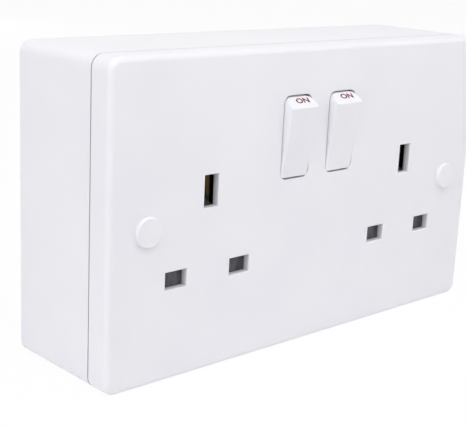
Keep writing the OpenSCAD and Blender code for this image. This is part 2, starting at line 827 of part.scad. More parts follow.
module earth_strap() {
  color(brass) {
    earth_arms(0, earth_strap_d, earth_rear_d);
    for (s = [-1, 1]) {
      earth_clip(s * socket_x);
      block(s * earth_term_x - tail_w / 2, s * earth_term_x + tail_w / 2, earth_step_z,
        earth_step_z + strap_t, strap_d, earth_rear_d);
      block(s * earth_term_x - tail_w / 2, s * earth_term_x + tail_w / 2, earth_step_z,
        term_top_z + term_h / 2, strap_d, strap_rear_d);
    }
  }
}

module terminal(place) {
  color(brass)
    difference() {
      block(place[0] - term_w / 2, place[0] + term_w / 2, place[1] - term_h / 2, place[1] + term_h / 2,
        term_front_d, term_back_d);
      block(place[0] - term_w / 2 + term_wall, place[0] + term_w / 2 - term_wall,
        place[1] - term_h / 2 - overrun, place[1] + term_h / 2 + overrun,
        term_room_d, term_room_d + term_room);
      rod(place[0], place[1], term_screw_dia / 2 + seat_gap, term_room_d + term_room - overrun,
        term_back_d + overrun);
    }
}

// screw with a slotted head, its head outwards at the rear
module rear_screw(place, r, head_r, head_h, seat_d, tip_d) {
  difference() {
    union() {
      rod(place[0], place[1], r, tip_d, seat_d);
      rod(place[0], place[1], head_r, seat_d, seat_d + head_h);
    }
    block(place[0] - head_r - overrun, place[0] + head_r + overrun, place[1] - driver_slot_w / 2,
      place[1] + driver_slot_w / 2, seat_d + head_h - driver_slot_depth, seat_d + head_h + overrun);
  }
}

module terminal_screws() {
  color(steel)
    for (place = terminals_at)
      rear_screw(place, term_screw_dia / 2, term_head_dia / 2, term_head_h,
        term_back_d + loose_gap, term_back_d - term_thread_t - term_tip);
}

module cover_screws() {
  color(steel)
    for (place = cover_screws_at)
      rear_screw(place, cover_screw_dia / 2, cover_head_dia / 2, cover_head_h,
        cover_rear_d - cover_sink, cover_rear_d - cover_sink - cover_screw_len);
}

module fixing_screws() {
  color(steel)
    for (s = [-1, 1])
      difference() {
        union() {
          rod(s * fixing_x, fixing_z, fixing_head_dia / 2, well_depth - fixing_head_h, well_depth);
          rod(s * fixing_x, fixing_z, fixing_dia / 2, well_depth, well_depth + fixing_len);
        }
        block(s * fixing_x - fixing_head_dia, s * fixing_x + fixing_head_dia,
          fixing_z - driver_slot_w / 2, fixing_z + driver_slot_w / 2,
          well_depth - fixing_head_h - overrun, well_depth - fixing_head_h + driver_slot_depth);
      }
}

module screw_cap(side) {
  stem_r = well_dia / 2 - seat_gap;
  color(moulding)
    translate([side * fixing_x, face_y, fixing_z])
      rotate([90, 0, 0])
        rotate_extrude() {
          square([cap_dia / 2, cap_h - cap_edge_r]);
          square([cap_dia / 2 - cap_edge_r, cap_h]);
          translate([cap_dia / 2 - cap_edge_r, cap_h - cap_edge_r])
            intersection() {
              circle(r = cap_edge_r);
              square([cap_edge_r, cap_edge_r]);
            }
          translate([stem_r - cap_stem_wall, -cap_stem_depth])
            square([cap_stem_wall, cap_stem_depth]);
        }
}

module box_inserts() {
  color(brass)
    for (s = [-1, 1])
      difference() {
        rod(s * fixing_x, fixing_z, insert_dia / 2, rim_d + insert_setback,
          rim_d + insert_setback + insert_len);
        rod(s * fixing_x, fixing_z, fixing_dia / 2 + seat_gap, rim_d,
          rim_d + insert_len + 2 * insert_setback);
      }
}

module shutter(side) {
  x = side * socket_x;
  color(shutter_grey) {
    block(x - shutter_half_w, x + shutter_half_w, shutter_low, shutter_top,
      shutter_d, shutter_d + shutter_t);
    block(x - neck_half_w, x + neck_half_w, shutter_low, ramp_foot - gusset_drop / 4,
      shutter_d, shutter_d + shutter_t);
    block(x - lug_half_w, x + lug_half_w, shutter_top - lug_h, shutter_top, shutter_d, lug_d);
    side_slab(x - ramp_half_w, x + ramp_half_w)
      polygon([[shutter_d, gusset_z], [shutter_d, ramp_foot], [shutter_d + ramp_depth, ramp_crest],
        [shutter_d + ramp_depth + ramp_crest_t, ramp_crest],
        [shutter_d + ramp_depth + ramp_crest_t, ramp_crest - ramp_flat],
        [shutter_d + shutter_t, gusset_z]]);
  }
}

module shutter_spring(side) {
  color(steel)
    translate([side * socket_x, depth_y(shutter_spring_d), spring_foot])
      coil(shutter_spring_r, shutter_wire, shutter_top - lug_h - seat_gap - spring_foot, shutter_turns);
}

module front_plate() {
  color(moulding)
    difference() {
      union() {
        difference() {
          plate_body();
          slab(face_t, rim_d + overrun)
            rounded(plate_w - 2 * skirt_t, plate_h - 2 * skirt_t, corner_r - skirt_t);
        }
        for (s = [-1, 1]) {
          rod(s * fixing_x, fixing_z, well_boss_dia / 2, face_t / 2, rim_d);
          slab(face_t / 2, collar_d)
            translate([s * rocker_x, rocker_z])
              rounded(window_w + 2 * collar_t, window_h + 2 * collar_t, window_r + collar_t);
          for (m = [-1, 1]) {
            inner = s * socket_x + m * (neck_half_w + run_gap);
            block(min(inner, inner + m * guide_t), max(inner, inner + m * guide_t),
              pin_z + guide_rise, pin_z + guide_rise + guide_len, face_t / 2, shutter_d + shutter_t);
          }
        }
        for (place = cover_screws_at)
          rod(place[0], place[1], cover_post_dia / 2, face_t / 2, cover_split_d);
      }
      for (s = [-1, 1]) {
        rod(s * fixing_x, fixing_z, well_dia / 2, -overrun, well_depth);
        rod(s * fixing_x, fixing_z, fixing_hole_dia / 2, well_depth - overrun, rim_d + overrun);
        slab(-overrun, collar_d + overrun)
          translate([s * rocker_x, rocker_z])
            rounded(window_w, window_h, window_r);
        rocker_seat(s);
        aperture(s * socket_x, earth_z, earth_hole_w, earth_hole_h);
      }
      for (x = concat(live_pins, neutral_pins))
        aperture(x, pin_z, pin_hole_w, pin_hole_h);
      for (place = cover_screws_at)
        rod(place[0], place[1], cover_screw_dia / 2 + seat_gap,
          cover_rear_d - cover_sink - cover_screw_len - overrun / 2, cover_split_d + overrun);
    }
}

// rectangular aperture through the face, with a chamfered mouth
module aperture(x, z, w, h) {
  flare = mouth_chamfer + overrun;
  block(x - w / 2, x + w / 2, z - h / 2, z + h / 2, -overrun, face_t + overrun);
  intersection() {
    side_slab(x - w, x + w)
      polygon([[-overrun, z - h / 2 - flare], [mouth_chamfer, z - h / 2], [mouth_chamfer, z + h / 2],
        [-overrun, z + h / 2 + flare]]);
    translate([x, face_y, z - h])
      linear_extrude(height = 2 * h)
        polygon([[-w / 2 - flare, -overrun], [-w / 2, mouth_chamfer], [w / 2, mouth_chamfer],
          [w / 2 + flare, -overrun]]);
  }
}

// pivot bores beside a window, with a snap throat open to the rear
module rocker_seat(side) {
  reach = rocker_w / 2 + stub_len + run_gap;
  translate([side * rocker_x - reach, depth_y(pivot_d), rocker_z])
    rotate([0, 90, 0])
      cylinder(h = 2 * reach, r = stub_dia / 2 + run_gap);
  block(side * rocker_x - reach, side * rocker_x + reach, rocker_z - throat_w / 2,
    rocker_z + throat_w / 2, pivot_d, collar_d + overrun);
}

module cover_outline(inset) {
  difference() {
    translate([-(cover_half_w - inset), cover_bottom + inset])
      square([2 * (cover_half_w - inset), cover_top - cover_bottom - 2 * inset]);
    for (s = [-1, 1])
      translate([s * fixing_x, fixing_z])
        circle(r = waist_r + inset);
  }
}

module chamber(x, z, half_x, half_z, d0) {
  block(x - half_x, x + half_x, z - half_z, z + half_z, d0, cover_floor_d + seat_gap);
}

module rear_cover() {
  color(inner_moulding)
    difference() {
      union() {
        difference() {
          slab(cover_rim_d, cover_rear_d)
            cover_outline(0);
          slab(cover_rim_d - overrun, cover_floor_d)
            cover_outline(cover_wall);
        }
        for (x = concat(live_pins, neutral_pins))
          difference() {
            chamber(x, pin_z, chamber_half_w + chamber_wall, chamber_half_h + chamber_wall, chamber_d);
            block(x - chamber_half_w, x + chamber_half_w, pin_z - chamber_half_h,
              pin_z + chamber_half_h, chamber_d - overrun, cover_floor_d);
          }
        for (s = [-1, 1])
          difference() {
            chamber(s * socket_x, earth_z, earth_chamber_half_w + chamber_wall,
              earth_chamber_half_h + chamber_wall, earth_chamber_d);
            block(s * socket_x - earth_chamber_half_w, s * socket_x + earth_chamber_half_w,
              earth_z - earth_chamber_half_h, earth_z + earth_chamber_half_h,
              earth_chamber_d - overrun, cover_floor_d);
          }
        for (place = terminals_at)
          chamber(place[0], place[1], term_w / 2 + run_gap + chamber_wall,
            term_h / 2 + run_gap + chamber_wall, term_chamber_d);
        for (place = cover_screws_at)
          rod(place[0], place[1], cover_tube_dia / 2, cover_split_d + seat_gap,
            cover_floor_d + seat_gap);
        for (place = pedestals_at)
          chamber(place[0], place[1], pedestal_half, pedestal_half, strap_rear_d);
      }
      for (place = terminals_at) {
        low = place[1] < 0;
        block(place[0] - term_w / 2 - run_gap, place[0] + term_w / 2 + run_gap,
          place[1] - term_h / 2 - run_gap, place[1] + term_h / 2 + run_gap,
          term_front_d - run_gap, cover_rear_d + overrun);
        block(place[0] - tail_w / 2 - run_gap, place[0] + tail_w / 2 + run_gap,
          low ? place[1] : place[1] - term_h, low ? place[1] + term_h : place[1],
          cover_rim_d, strap_rear_d + run_gap);
        block(place[0] - wire_notch_w / 2, place[0] + wire_notch_w / 2,
          low ? cover_bottom - overrun : place[1], low ? place[1] : cover_top + overrun,
          term_front_d, cover_rear_d + overrun);
      }
      for (s = [-1, 1])
        switched_arms(s, run_gap, cover_rim_d, strap_rear_d);
      neutral_arms(run_gap, cover_rim_d, strap_rear_d);
      busbar_arms(run_gap, cover_rim_d, strap_rear_d);
      earth_arms(run_gap, earth_chamber_d - overrun, cover_floor_d);
      for (place = cover_screws_at) {
        rod(place[0], place[1], cover_screw_dia / 2 + run_gap, cover_split_d, cover_rear_d + overrun);
        rod(place[0], place[1], cover_head_dia / 2 + run_gap, cover_rear_d - cover_sink,
          cover_rear_d + overrun);
      }
    }
}

module wall_slot(x, z) {
  run = (wall_slot_len - wall_slot_w) / 2;
  for (s = [-1, 1])
    rod(x + s * run, z, wall_slot_w / 2, wall_d - box_floor - overrun, wall_d + overrun);
  block(x - run, x + run, z - wall_slot_w / 2, z + wall_slot_w / 2,
    wall_d - box_floor - overrun, wall_d + overrun);
}

module box_shell() {
  difference() {
    union() {
      slab(rim_d + seam_gap, wall_d)
        rounded(plate_w, plate_h, corner_r);
      slab(rim_d, rim_d + 2 * seam_gap)
        rounded(plate_w - 2 * seam_reach, plate_h - 2 * seam_reach, corner_r - seam_reach);
    }
    slab(rim_d - overrun, wall_d - box_floor)
      rounded(plate_w - 2 * box_wall, plate_h - 2 * box_wall, corner_r - box_wall);
  }
}

module pattress_box() {
  lip_inset = skirt_t + lip_gap;
  color(moulding)
    difference() {
      union() {
        box_shell();
        slab(rim_d - lip_h, rim_d + lip_root)
          difference() {
            rounded(plate_w - 2 * lip_inset, plate_h - 2 * lip_inset, corner_r - lip_inset);
            rounded(plate_w - 2 * (lip_inset + lip_t), plate_h - 2 * (lip_inset + lip_t),
              max(corner_r - lip_inset - lip_t, lip_gap));
          }
        for (s = [-1, 1]) {
          rod(s * fixing_x, fixing_z, post_dia / 2, rim_d, wall_d - box_floor / 2);
          block(min(s * fixing_x, s * (half_w - box_wall / 2)), max(s * fixing_x, s * (half_w - box_wall / 2)),
            fixing_z - post_web_t / 2, fixing_z + post_web_t / 2, rim_d + lip_root, wall_d - box_floor / 2);
        }
      }
      for (s = [-1, 1]) {
        rod(s * fixing_x, fixing_z, insert_dia / 2 + seat_gap, rim_d - overrun,
          rim_d + insert_setback + insert_len);
        rod(s * fixing_x, fixing_z, post_bore_dia / 2, rim_d, rim_d + post_bore_depth);
        for (m = [-1, 1])
          wall_slot(s * wall_slot_x, m * wall_slot_z);
        for (x = [-knockout_x, 0, knockout_x])
          block(x - knockout_w / 2, x + knockout_w / 2,
            min(s * (half_h - knockout_skin), s * (half_h - box_wall - overrun)),
            max(s * (half_h - knockout_skin), s * (half_h - box_wall - overrun)),
            wall_d - knockout_inset - knockout_depth, wall_d - knockout_inset);
      }
      difference() {
        rod(0, 0, rear_entry_dia / 2, wall_d - box_floor - overrun, wall_d - knockout_skin);
        rod(0, 0, rear_entry_dia / 2 - rear_groove_w, wall_d - box_floor - 2 * overrun, wall_d);
      }
    }
}

pattress_box();
box_inserts();
front_plate();
rear_cover();
cover_screws();
fixing_screws();
screw_cap(-1);  // screw_cap_left
screw_cap(1);  // screw_cap_right
rocker(-1);  // rocker_left
rocker(1);  // rocker_right
plunger(-1);  // plunger_left
plunger(1);  // plunger_right
plunger_spring(-1);  // plunger_spring_left
plunger_spring(1);  // plunger_spring_right
rocking_contact(-1);  // rocking_contact_left
rocking_contact(1);  // rocking_contact_right
moving_tip(-1);  // moving_tip_left
moving_tip(1);  // moving_tip_right
fixed_tips();
live_busbar();
live_strap(-1);  // live_strap_left
live_strap(1);  // live_strap_right
neutral_strap();
earth_strap();
terminal(terminals_at[0]);  // terminal_live
union() {  // terminals_earth
  terminal(terminals_at[1]);
  terminal(terminals_at[2]);
}
terminal(terminals_at[3]);  // terminal_neutral
terminal_screws();
shutter(-1);  // shutter_left
shutter(1);  // shutter_right
shutter_spring(-1);  // shutter_spring_left
shutter_spring(1);  // shutter_spring_right
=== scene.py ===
import json
import math

import bmesh
import bpy
from mathutils import Matrix, Vector


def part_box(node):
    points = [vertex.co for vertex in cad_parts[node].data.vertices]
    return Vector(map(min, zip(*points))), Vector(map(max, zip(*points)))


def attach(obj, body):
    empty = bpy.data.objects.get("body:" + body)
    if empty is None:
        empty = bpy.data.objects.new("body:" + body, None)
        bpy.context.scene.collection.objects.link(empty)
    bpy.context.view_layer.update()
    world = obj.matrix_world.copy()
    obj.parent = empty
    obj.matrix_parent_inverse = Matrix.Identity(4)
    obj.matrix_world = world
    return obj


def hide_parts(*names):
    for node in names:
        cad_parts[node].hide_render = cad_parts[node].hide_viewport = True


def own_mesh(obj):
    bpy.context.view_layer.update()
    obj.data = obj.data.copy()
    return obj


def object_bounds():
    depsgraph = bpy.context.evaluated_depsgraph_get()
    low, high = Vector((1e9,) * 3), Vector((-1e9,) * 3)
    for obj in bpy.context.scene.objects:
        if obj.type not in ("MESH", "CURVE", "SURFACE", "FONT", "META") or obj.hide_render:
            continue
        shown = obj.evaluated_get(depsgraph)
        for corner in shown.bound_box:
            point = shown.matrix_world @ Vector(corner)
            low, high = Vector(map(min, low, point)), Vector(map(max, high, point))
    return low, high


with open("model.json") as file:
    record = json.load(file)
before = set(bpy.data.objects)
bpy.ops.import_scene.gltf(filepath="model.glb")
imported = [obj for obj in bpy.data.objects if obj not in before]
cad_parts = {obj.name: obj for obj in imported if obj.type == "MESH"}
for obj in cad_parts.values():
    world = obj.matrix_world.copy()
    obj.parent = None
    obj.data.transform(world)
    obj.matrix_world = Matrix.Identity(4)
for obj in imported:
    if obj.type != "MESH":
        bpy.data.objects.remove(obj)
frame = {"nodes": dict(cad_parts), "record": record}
solids_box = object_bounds()
MM = 0.001
SIDES = (("left", -1), ("right", 1))

# camera: the direction it looks from, its turn about that direction, its distance and its aim
CAMERA_AZIMUTH = -43.029
CAMERA_ELEVATION = 14.887
CAMERA_ROLL = 2.676
CAMERA_DISTANCE = 303.918 * MM
CAMERA_AIM = Vector((-22.71, -30.0, -3.738)) * MM
FOCAL_PIXELS = 1090.234
IMAGE_WIDTH = 466
SENSOR_WIDTH = 36.0

# where painted shade starts: behind the flat of the face, in the seam, at the front lips of the
# contacts and on the nose of a shutter
FACE_Y = -39.5 * MM
FACE_HALF_WIDTH = 68.5 * MM
FACE_HALF_HEIGHT = 39.0 * MM
OPENING_START = 0.1 * MM
OPENING_END = 2.2 * MM
SEAM_Y = -31.5 * MM
LIP_Y = -35.6 * MM
LIP_DEPTH = 0.6 * MM
NOSE_Z = 0.0
NOSE_HEIGHT = 6.0 * MM

# rockers: how far from the middle, the pivot, the tilt at rest, and the lower and upper edge of
# the legend facet from the pivot
ROCKER_X = 9.0 * MM
PIVOT = Vector((0.0, -36.9, 18.15)) * MM
ROCKER_TILT = math.radians(8.7)
FACET_LOW = Vector((0.0, -4.26, 9.3)) * MM
FACET_HIGH = Vector((0.0, -0.88, 11.46)) * MM

# legend: the size of the word, how much bolder than its typeface, the ink, and its place on the
# facet, up from the lower edge and off the middle
WORD_WIDTH = 5.0 * MM
WORD_HEIGHT = 1.75 * MM
WORD_BOLDNESS = 0.032
INK_THICKNESS = 0.03 * MM
WORD_UP = 2.6 * MM
WORD_SHIFT = {"left": 0.42 * MM, "right": 0.38 * MM}

# coil springs: wire, turns and how far each gives; the plunger's starts in front of the pivot
WIRE_SIDES = 10
COIL_STEPS = 28
SHUTTER_WIRE = 0.45 * MM
SHUTTER_TURNS = 11
PLUNGER_WIRE = 0.4 * MM
PLUNGER_TURNS = 7
PLUNGER_COIL_RADIUS = 1.45 * MM
PLUNGER_COIL_LENGTH = 6.3 * MM
PLUNGER_COIL_START = -1.35 * MM

# screws: the slot of each head, the sizes of each kind, and the spots of their bearing faces
SLOT_WIDTH = 0.9 * MM
SLOT_DEPTH = 1.0 * MM
PLATE_SCREW = {"head_radius": 3.2 * MM, "head_height": 2.1 * MM, "shank": 1.75 * MM,
               "length": 20.0 * MM, "pitch": 0.6 * MM, "edge": 0.25 * MM}
COVER_SCREW = {"head_radius": 2.5 * MM, "head_height": 1.9 * MM, "shank": 1.5 * MM,
               "length": 16.0 * MM, "pitch": 1.06 * MM, "edge": 0.2 * MM}
CLAMP_SCREW = {"head_radius": 2.7 * MM, "head_height": 1.5 * MM, "shank": 1.8 * MM,
               "length": 4.6 * MM, "pitch": 0.7 * MM, "edge": 0.2 * MM}
PLATE_SPOTS_MM = ((-60.3, -35.1, -1.1), (60.3, -35.1, -1.1))
COVER_SPOTS_MM = ((-46, -16.1, 30), (46, -16.1, 30), (-48.5, -16.1, -28.2), (48.5, -16.1, -28.2),
                  (0, -16.1, -9.5))
CLAMP_SPOTS_MM = ((0, -14.35, 28.6), (-30, -14.35, 28.6), (30, -14.35, 28.6), (-16, -14.35, -27.9))
HEAD_SIDES = 48
CORE_SIDES = 24
THREAD_STEPS = 20

# thread: its depth and the start, crest and end of its ridge as shares of the pitch, the foot of
# the ridge inside the core and the tip of the core as shares of the core
THREAD_DEPTH = 0.54
THREAD_RIDGE = (0.1, 0.5, 0.9)
THREAD_FOOT = 0.96
CORE_TIP = 0.82

SMOOTH_ANGLE = math.radians(30)
TOUCHING = 1e-6
LETTER_TOUCHING = 1e-5


def linear(code):
    """Linear colour of an sRGB hex code."""
    channels = [int(code[i:i + 2], 16) / 255 for i in (1, 3, 5)]
    curve = [c / 12.92 if c <= 0.04045 else ((c + 0.055) / 1.055) ** 2.4 for c in channels]
    return (*curve, 1.0)


# materials

EVEN = (1.0, 1.0, 1.0)
WHITE = (1.0, 1.0, 1.0, 1.0)

# what most of a noise spans, and the sockets of a colour mix
NOISE_LOW = 0.25
NOISE_HIGH = 0.75
MIX_SHARE, MIX_FROM, MIX_TO, MIXED = 0, 6, 7, 2


def add(tree, kind, inputs=None, **settings):
    """A new node of that kind, with its settings, and its inputs set or linked."""
    node = tree.nodes.new(kind)
    for name, value in settings.items():
        setattr(node, name, value)
    for key, value in (inputs or {}).items():
        if isinstance(value, bpy.types.NodeSocket):
            tree.links.new(value, node.inputs[key])
        else:
            node.inputs[key].default_value = value
    return node


def finish(name, colours, mottle, rough, grain, reliefs, metallic=0.0, painted_shade=None):
    """A material. Its two colours mix in patches, and its roughness and relief follow a finer
    grain. Mottle and grain are a size, a detail and a stretch; the mottle also has the span
    that it mixes over. A relief is a size, or nought for the grain, a depth and a strength.
    The last argument is painted shade: an area and the darker colour that it turns to there."""
    material = bpy.data.materials.new(name)
    material.use_nodes = True
    tree = material.node_tree
    tree.nodes.clear()
    shader = add(tree, "ShaderNodeBsdfPrincipled", {"Metallic": metallic})
    add(tree, "ShaderNodeOutputMaterial", {"Surface": shader.outputs[0]})
    place = add(tree, "ShaderNodeTexCoord").outputs["Object"]
    fields = []
    for size, detail, stretch in (mottle[:3], grain):
        drawn = add(tree, "ShaderNodeMapping", {"Vector": place, "Scale": stretch}).outputs[0]
        inputs = {"Vector": drawn, "Scale": 1 / size, "Detail": detail}
        fields.append(add(tree, "ShaderNodeTexNoise", inputs).outputs["Fac"])
    patches, lines = fields

    inputs = {"Value": patches, "From Min": mottle[3], "From Max": mottle[4]}
    share = add(tree, "ShaderNodeMapRange", inputs).outputs["Result"]
    inputs = {MIX_SHARE: share, MIX_FROM: linear(colours[0]), MIX_TO: linear(colours[1])}
    colour = add(tree, "ShaderNodeMix", inputs, data_type="RGBA").outputs[MIXED]
    # painted shade: over its area the colour turns darker, standing in for shade
    if painted_shade:
        inputs = {MIX_SHARE: painted_shade[0](tree, place), MIX_FROM: colour, MIX_TO: linear(painted_shade[1])}
        colour = add(tree, "ShaderNodeMix", inputs, data_type="RGBA").outputs[MIXED]
    tree.links.new(colour, shader.inputs["Base Color"])

    inputs = {"Value": lines, "From Min": NOISE_LOW, "From Max": NOISE_HIGH,
              "To Min": rough[0], "To Max": rough[1]}
    roughness = add(tree, "ShaderNodeMapRange", inputs).outputs["Result"]
    tree.links.new(roughness, shader.inputs["Roughness"])

    normal = None
    for size, depth, strength in reliefs:
        height = lines
        if size:
            inputs = {"Vector": place, "Scale": 1 / size, "Detail": 1.0}
            height = add(tree, "ShaderNodeTexNoise", inputs).outputs["Fac"]
        inputs = {"Height": height, "Distance": depth, "Strength": strength}
        if normal:
            inputs["Normal"] = normal
        normal = add(tree, "ShaderNodeBump", inputs).outputs["Normal"]
    if normal:
        tree.links.new(normal, shader.inputs["Normal"])
    return material


def shade_in_openings(tree, place):
    """Area of painted shade behind the flat of the plate's face, in its apertures and rocker windows.
    """
    x, y, z = add(tree, "ShaderNodeSeparateXYZ", {0: place}).outputs
    behind = {"Value": y, "From Min": FACE_Y + OPENING_START, "From Max": FACE_Y + OPENING_END}
    share = add(tree, "ShaderNodeMapRange", behind).outputs["Result"]
    for along, half in ((x, FACE_HALF_WIDTH), (z, FACE_HALF_HEIGHT)):
        away = add(tree, "ShaderNodeMath", {0: along}, operation="ABSOLUTE").outputs[0]
        inside = add(tree, "ShaderNodeMath", {0: away, 1: half}, operation="LESS_THAN").outputs[0]
        share = add(tree, "ShaderNodeMath", {0: share, 1: inside}, operation="MULTIPLY").outputs[0]
    return share


def shade_in_seam(tree, place):
    """Area of painted shade in the groove where the plate meets the box."""
    y = add(tree, "ShaderNodeSeparateXYZ", {0: place}).outputs["Y"]
    return add(tree, "ShaderNodeMath", {0: y, 1: SEAM_Y}, operation="LESS_THAN").outputs[0]


def shade_at_lips(tree, place):
    """Area of painted shade on the front lips of the contacts, which fades out behind them."""
    y = add(tree, "ShaderNodeSeparateXYZ", {0: place}).outputs["Y"]
    inputs = {"Value": y, "From Min": LIP_Y, "From Max": LIP_Y + LIP_DEPTH,
              "To Min": 1.0, "To Max": 0.0}
    return add(tree, "ShaderNodeMapRange", inputs).outputs["Result"]


def shade_on_nose(tree, place):
    """Area of painted shade on the nose of a shutter, above its bar."""
    z = add(tree, "ShaderNodeSeparateXYZ", {0: place}).outputs["Z"]
    inputs = {"Value": z, "From Min": NOSE_Z - NOSE_HEIGHT, "From Max": NOSE_Z}
    return add(tree, "ShaderNodeMapRange", inputs).outputs["Result"]


# Pressed white urea: a hard, even, slightly cold white with a soft sheen, a faint flow mottle and
# a slow wave left by the tool. Its skin is finer than a pixel, so its grain is drawn coarser.
# Behind the face and in the seam it is painted greyer: painted shade in the apertures, the rocker
# windows and the groove of the seam.
UREA = {"colours": ("#EEEEF3", "#F1F1F5"), "mottle": (22 * MM, 3.0, EVEN, 0.3, 0.7),
        "rough": (0.33, 0.41), "grain": (0.35 * MM, 2.0, EVEN),
        "reliefs": [(9 * MM, 0.03 * MM, 0.25), (0.0, 0.004 * MM, 0.35)]}
urea_white = finish("urea_moulding_white", **UREA)
plate_white = finish("urea_plate_white", **UREA, painted_shade=(shade_in_openings, "#C8C8CD"))
# painted shade in the seam groove
box_white = finish("urea_box_white", **UREA, painted_shade=(shade_in_seam, "#DEDEE3"))

# Filled nylon: matt and creamy, with a fine spark grain that scatters the light.
cover_nylon = finish("rear_cover_nylon", ("#DAD9D2", "#E2E1DB"), (4 * MM, 3.0, EVEN, 0.3, 0.7),
                     (0.44, 0.56), (0.3 * MM, 2.0, EVEN), [(0.0, 0.02 * MM, 0.5)])

# Grey moulding of the shutters: the flow of the melt draws its mottle out along Z, and its nose
# is painted darker, as painted shade deep in the earth slot.
shutter_grey = finish("shutter_grey_moulding", ("#303032", "#5A5A5E"),
                      (1.5 * MM, 3.0, (1.0, 1.0, 0.3), 0.3, 0.7),
                      (0.30, 0.42), (0.25 * MM, 2.0, EVEN), [(0.0, 0.02 * MM, 0.5)],
                      painted_shade=(shade_on_nose, "#1D1C1C"))

# Metals: handling dulls them in small patches, and what made them leaves lines a few micrometres
# deep. The lines are a tenth of a millimetre apart and less, so they are drawn coarser.
METAL_MOTTLE = (3.5 * MM, 4.0, EVEN, 0.35, 0.6)
METAL_RELIEF = [(0.0, 0.006 * MM, 0.5)]

# Rolled brass strip: warm yellow with rolling lines along Z, a thin tarnish that dulls its
# reflections and comes in patches, and front lips painted dark, as painted shade in the slots.
brass = finish("rolled_brass", ("#E4BC7E", "#F4D294"), (6 * MM, 3.0, EVEN, 0.3, 0.7),
               (0.38, 0.54), (0.5 * MM, 3.0, (1.0, 1.0, 0.12)), METAL_RELIEF,
               metallic=0.7, painted_shade=(shade_at_lips, "#1C130C"))

# Zinc plated steel: a cold bright grey, with the lines of the drawn wire along the screws.
zinc_steel = finish("zinc_plated_steel", ("#A9ABAF", "#C2C4C8"), METAL_MOTTLE, (0.25, 0.42),
                    (0.5 * MM, 3.0, (1.0, 0.15, 1.0)), METAL_RELIEF, metallic=1.0)

# Drawn spring wire: darker and shinier, with level lines, which follow the draw of the upright
# coils.
spring_steel = finish("drawn_spring_steel", ("#9A9B9E", "#B9BABD"), METAL_MOTTLE, (0.21, 0.38),
                      (0.5 * MM, 3.0, (0.2, 0.2, 1.0)), METAL_RELIEF, metallic=1.0)

# Silver alloy of the contact tips: a soft white metal with an even grain.
silver = finish("silver_contact_alloy", ("#C9C8C4", "#DEDDDA"), METAL_MOTTLE, (0.27, 0.44),
                (0.5 * MM, 3.0, EVEN), METAL_RELIEF, metallic=1.0)

# Pad printed ink: a flat deep red that is slightly matt and a little thin in places.
legend_red = finish("legend_ink_red", ("#8C121C", "#740812"), (0.25 * MM, 3.0, EVEN, 0.25, 0.5),
                    (0.5, 0.62), (0.25 * MM, 3.0, EVEN), [])

SLOT_FINISH = {"white_moulding": urea_white, "inner_moulding": cover_nylon,
               "shutter_moulding": shutter_grey, "brass": brass, "plated_steel": zinc_steel,
               "silver_alloy": silver}
SOLID_FINISH = {"front_plate": plate_white, "pattress_box": box_white}


def dress_solids():
    """Gives each solid its own finish, or that of its slot in the record."""
    for part in frame["record"]["subparts"]:
        solid = frame["nodes"][part["node"]]
        coat = SOLID_FINISH.get(part["node"], SLOT_FINISH[part["material_slot"]])
        solid.data.materials.clear()
        solid.data.materials.append(coat)


# pieces

def piece(name, bm, material, body, stands_for=()):
    """Makes the mesh a piece of the object that rides on a body."""
    bmesh.ops.recalc_face_normals(bm, faces=bm.faces)
    mesh = bpy.data.meshes.new(name)
    bm.to_mesh(mesh)
    bm.free()
    for face in mesh.polygons:
        face.use_smooth = True
    mesh.set_sharp_from_angle(angle=SMOOTH_ANGLE)
    mesh.materials.append(material)
    made = bpy.data.objects.new(name, mesh)
    bpy.context.scene.collection.objects.link(made)
    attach(made, body)
    if stands_for:
        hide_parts(*stands_for)
    return made


def close_loop(bm, items):
    """Fills the loop of edges among these items with one face."""
    edges = [e for e in items if isinstance(e, bmesh.types.BMEdge)]
    bmesh.ops.contextual_create(bm, geom=edges)


def points_of(items):
    """The vertices among these items."""
    return [v for v in items if isinstance(v, bmesh.types.BMVert)]


def sweep(bm, start, turns, rise, steps_per_turn):
    """Spins a closed loop about Z while it rises, and returns the loop at its end."""
    steps = max(1, round(abs(turns) * steps_per_turn))
    spun = bmesh.ops.spin(bm, geom=start, cent=(0, 0, 0), axis=(0, 0, 1), dvec=(0, 0, rise / steps),
                          angle=turns * 2 * math.pi, steps=steps, use_merge=False,
                          use_normal_flip=False, use_duplicate=False)
    return spun["geom_last"]


def coil(bm, radius, wire, length, turns, place):
    """Compression spring that stands on Z = 0, with a dead turn at each end."""
    at = Matrix.Translation((radius - wire / 2, 0, wire / 2)) @ Matrix.Rotation(math.pi / 2, 4, "X")
    loop = bmesh.ops.create_circle(bm, cap_ends=False, radius=wire / 2, segments=WIRE_SIDES, matrix=at)
    edges = [e for e in bm.edges if all(v in loop["verts"] for v in e.verts)]
    # each dead turn rises by one wire, and the wire itself takes the third
    live_rise = length - 3 * wire
    last = sweep(bm, list(loop["verts"]) + edges, 1.0, wire, COIL_STEPS)
    last = sweep(bm, last, turns - 2.0, live_rise, COIL_STEPS)
    last = sweep(bm, last, 1.0, wire, COIL_STEPS)
    close_loop(bm, edges)
    close_loop(bm, last)
    bmesh.ops.transform(bm, matrix=place, verts=bm.verts)


def shutter_springs():
    """Coil spring below each shutter, in the box of its plain solid."""
    for side, _ in SIDES:
        low, high = (Vector(corner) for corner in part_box("shutter_spring_" + side))
        middle = (low + high) / 2
        size = high - low
        bm = bmesh.new()
        place = Matrix.Translation(middle - Vector((0, 0, size.z / 2)))
        coil(bm, size.x / 2, SHUTTER_WIRE, size.z, SHUTTER_TURNS, place)
        spring = piece("shutter_coil_" + side, bm, spring_steel, "housing",
                       stands_for=["shutter_spring_" + side])
        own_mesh(spring)


def rocker_place(sign):
    """Place of a rocker: its pivot, tilted as it rests."""
    middle = Matrix.Translation(PIVOT + Vector((sign * ROCKER_X, 0, 0)))
    return middle @ Matrix.Rotation(ROCKER_TILT, 4, "X")


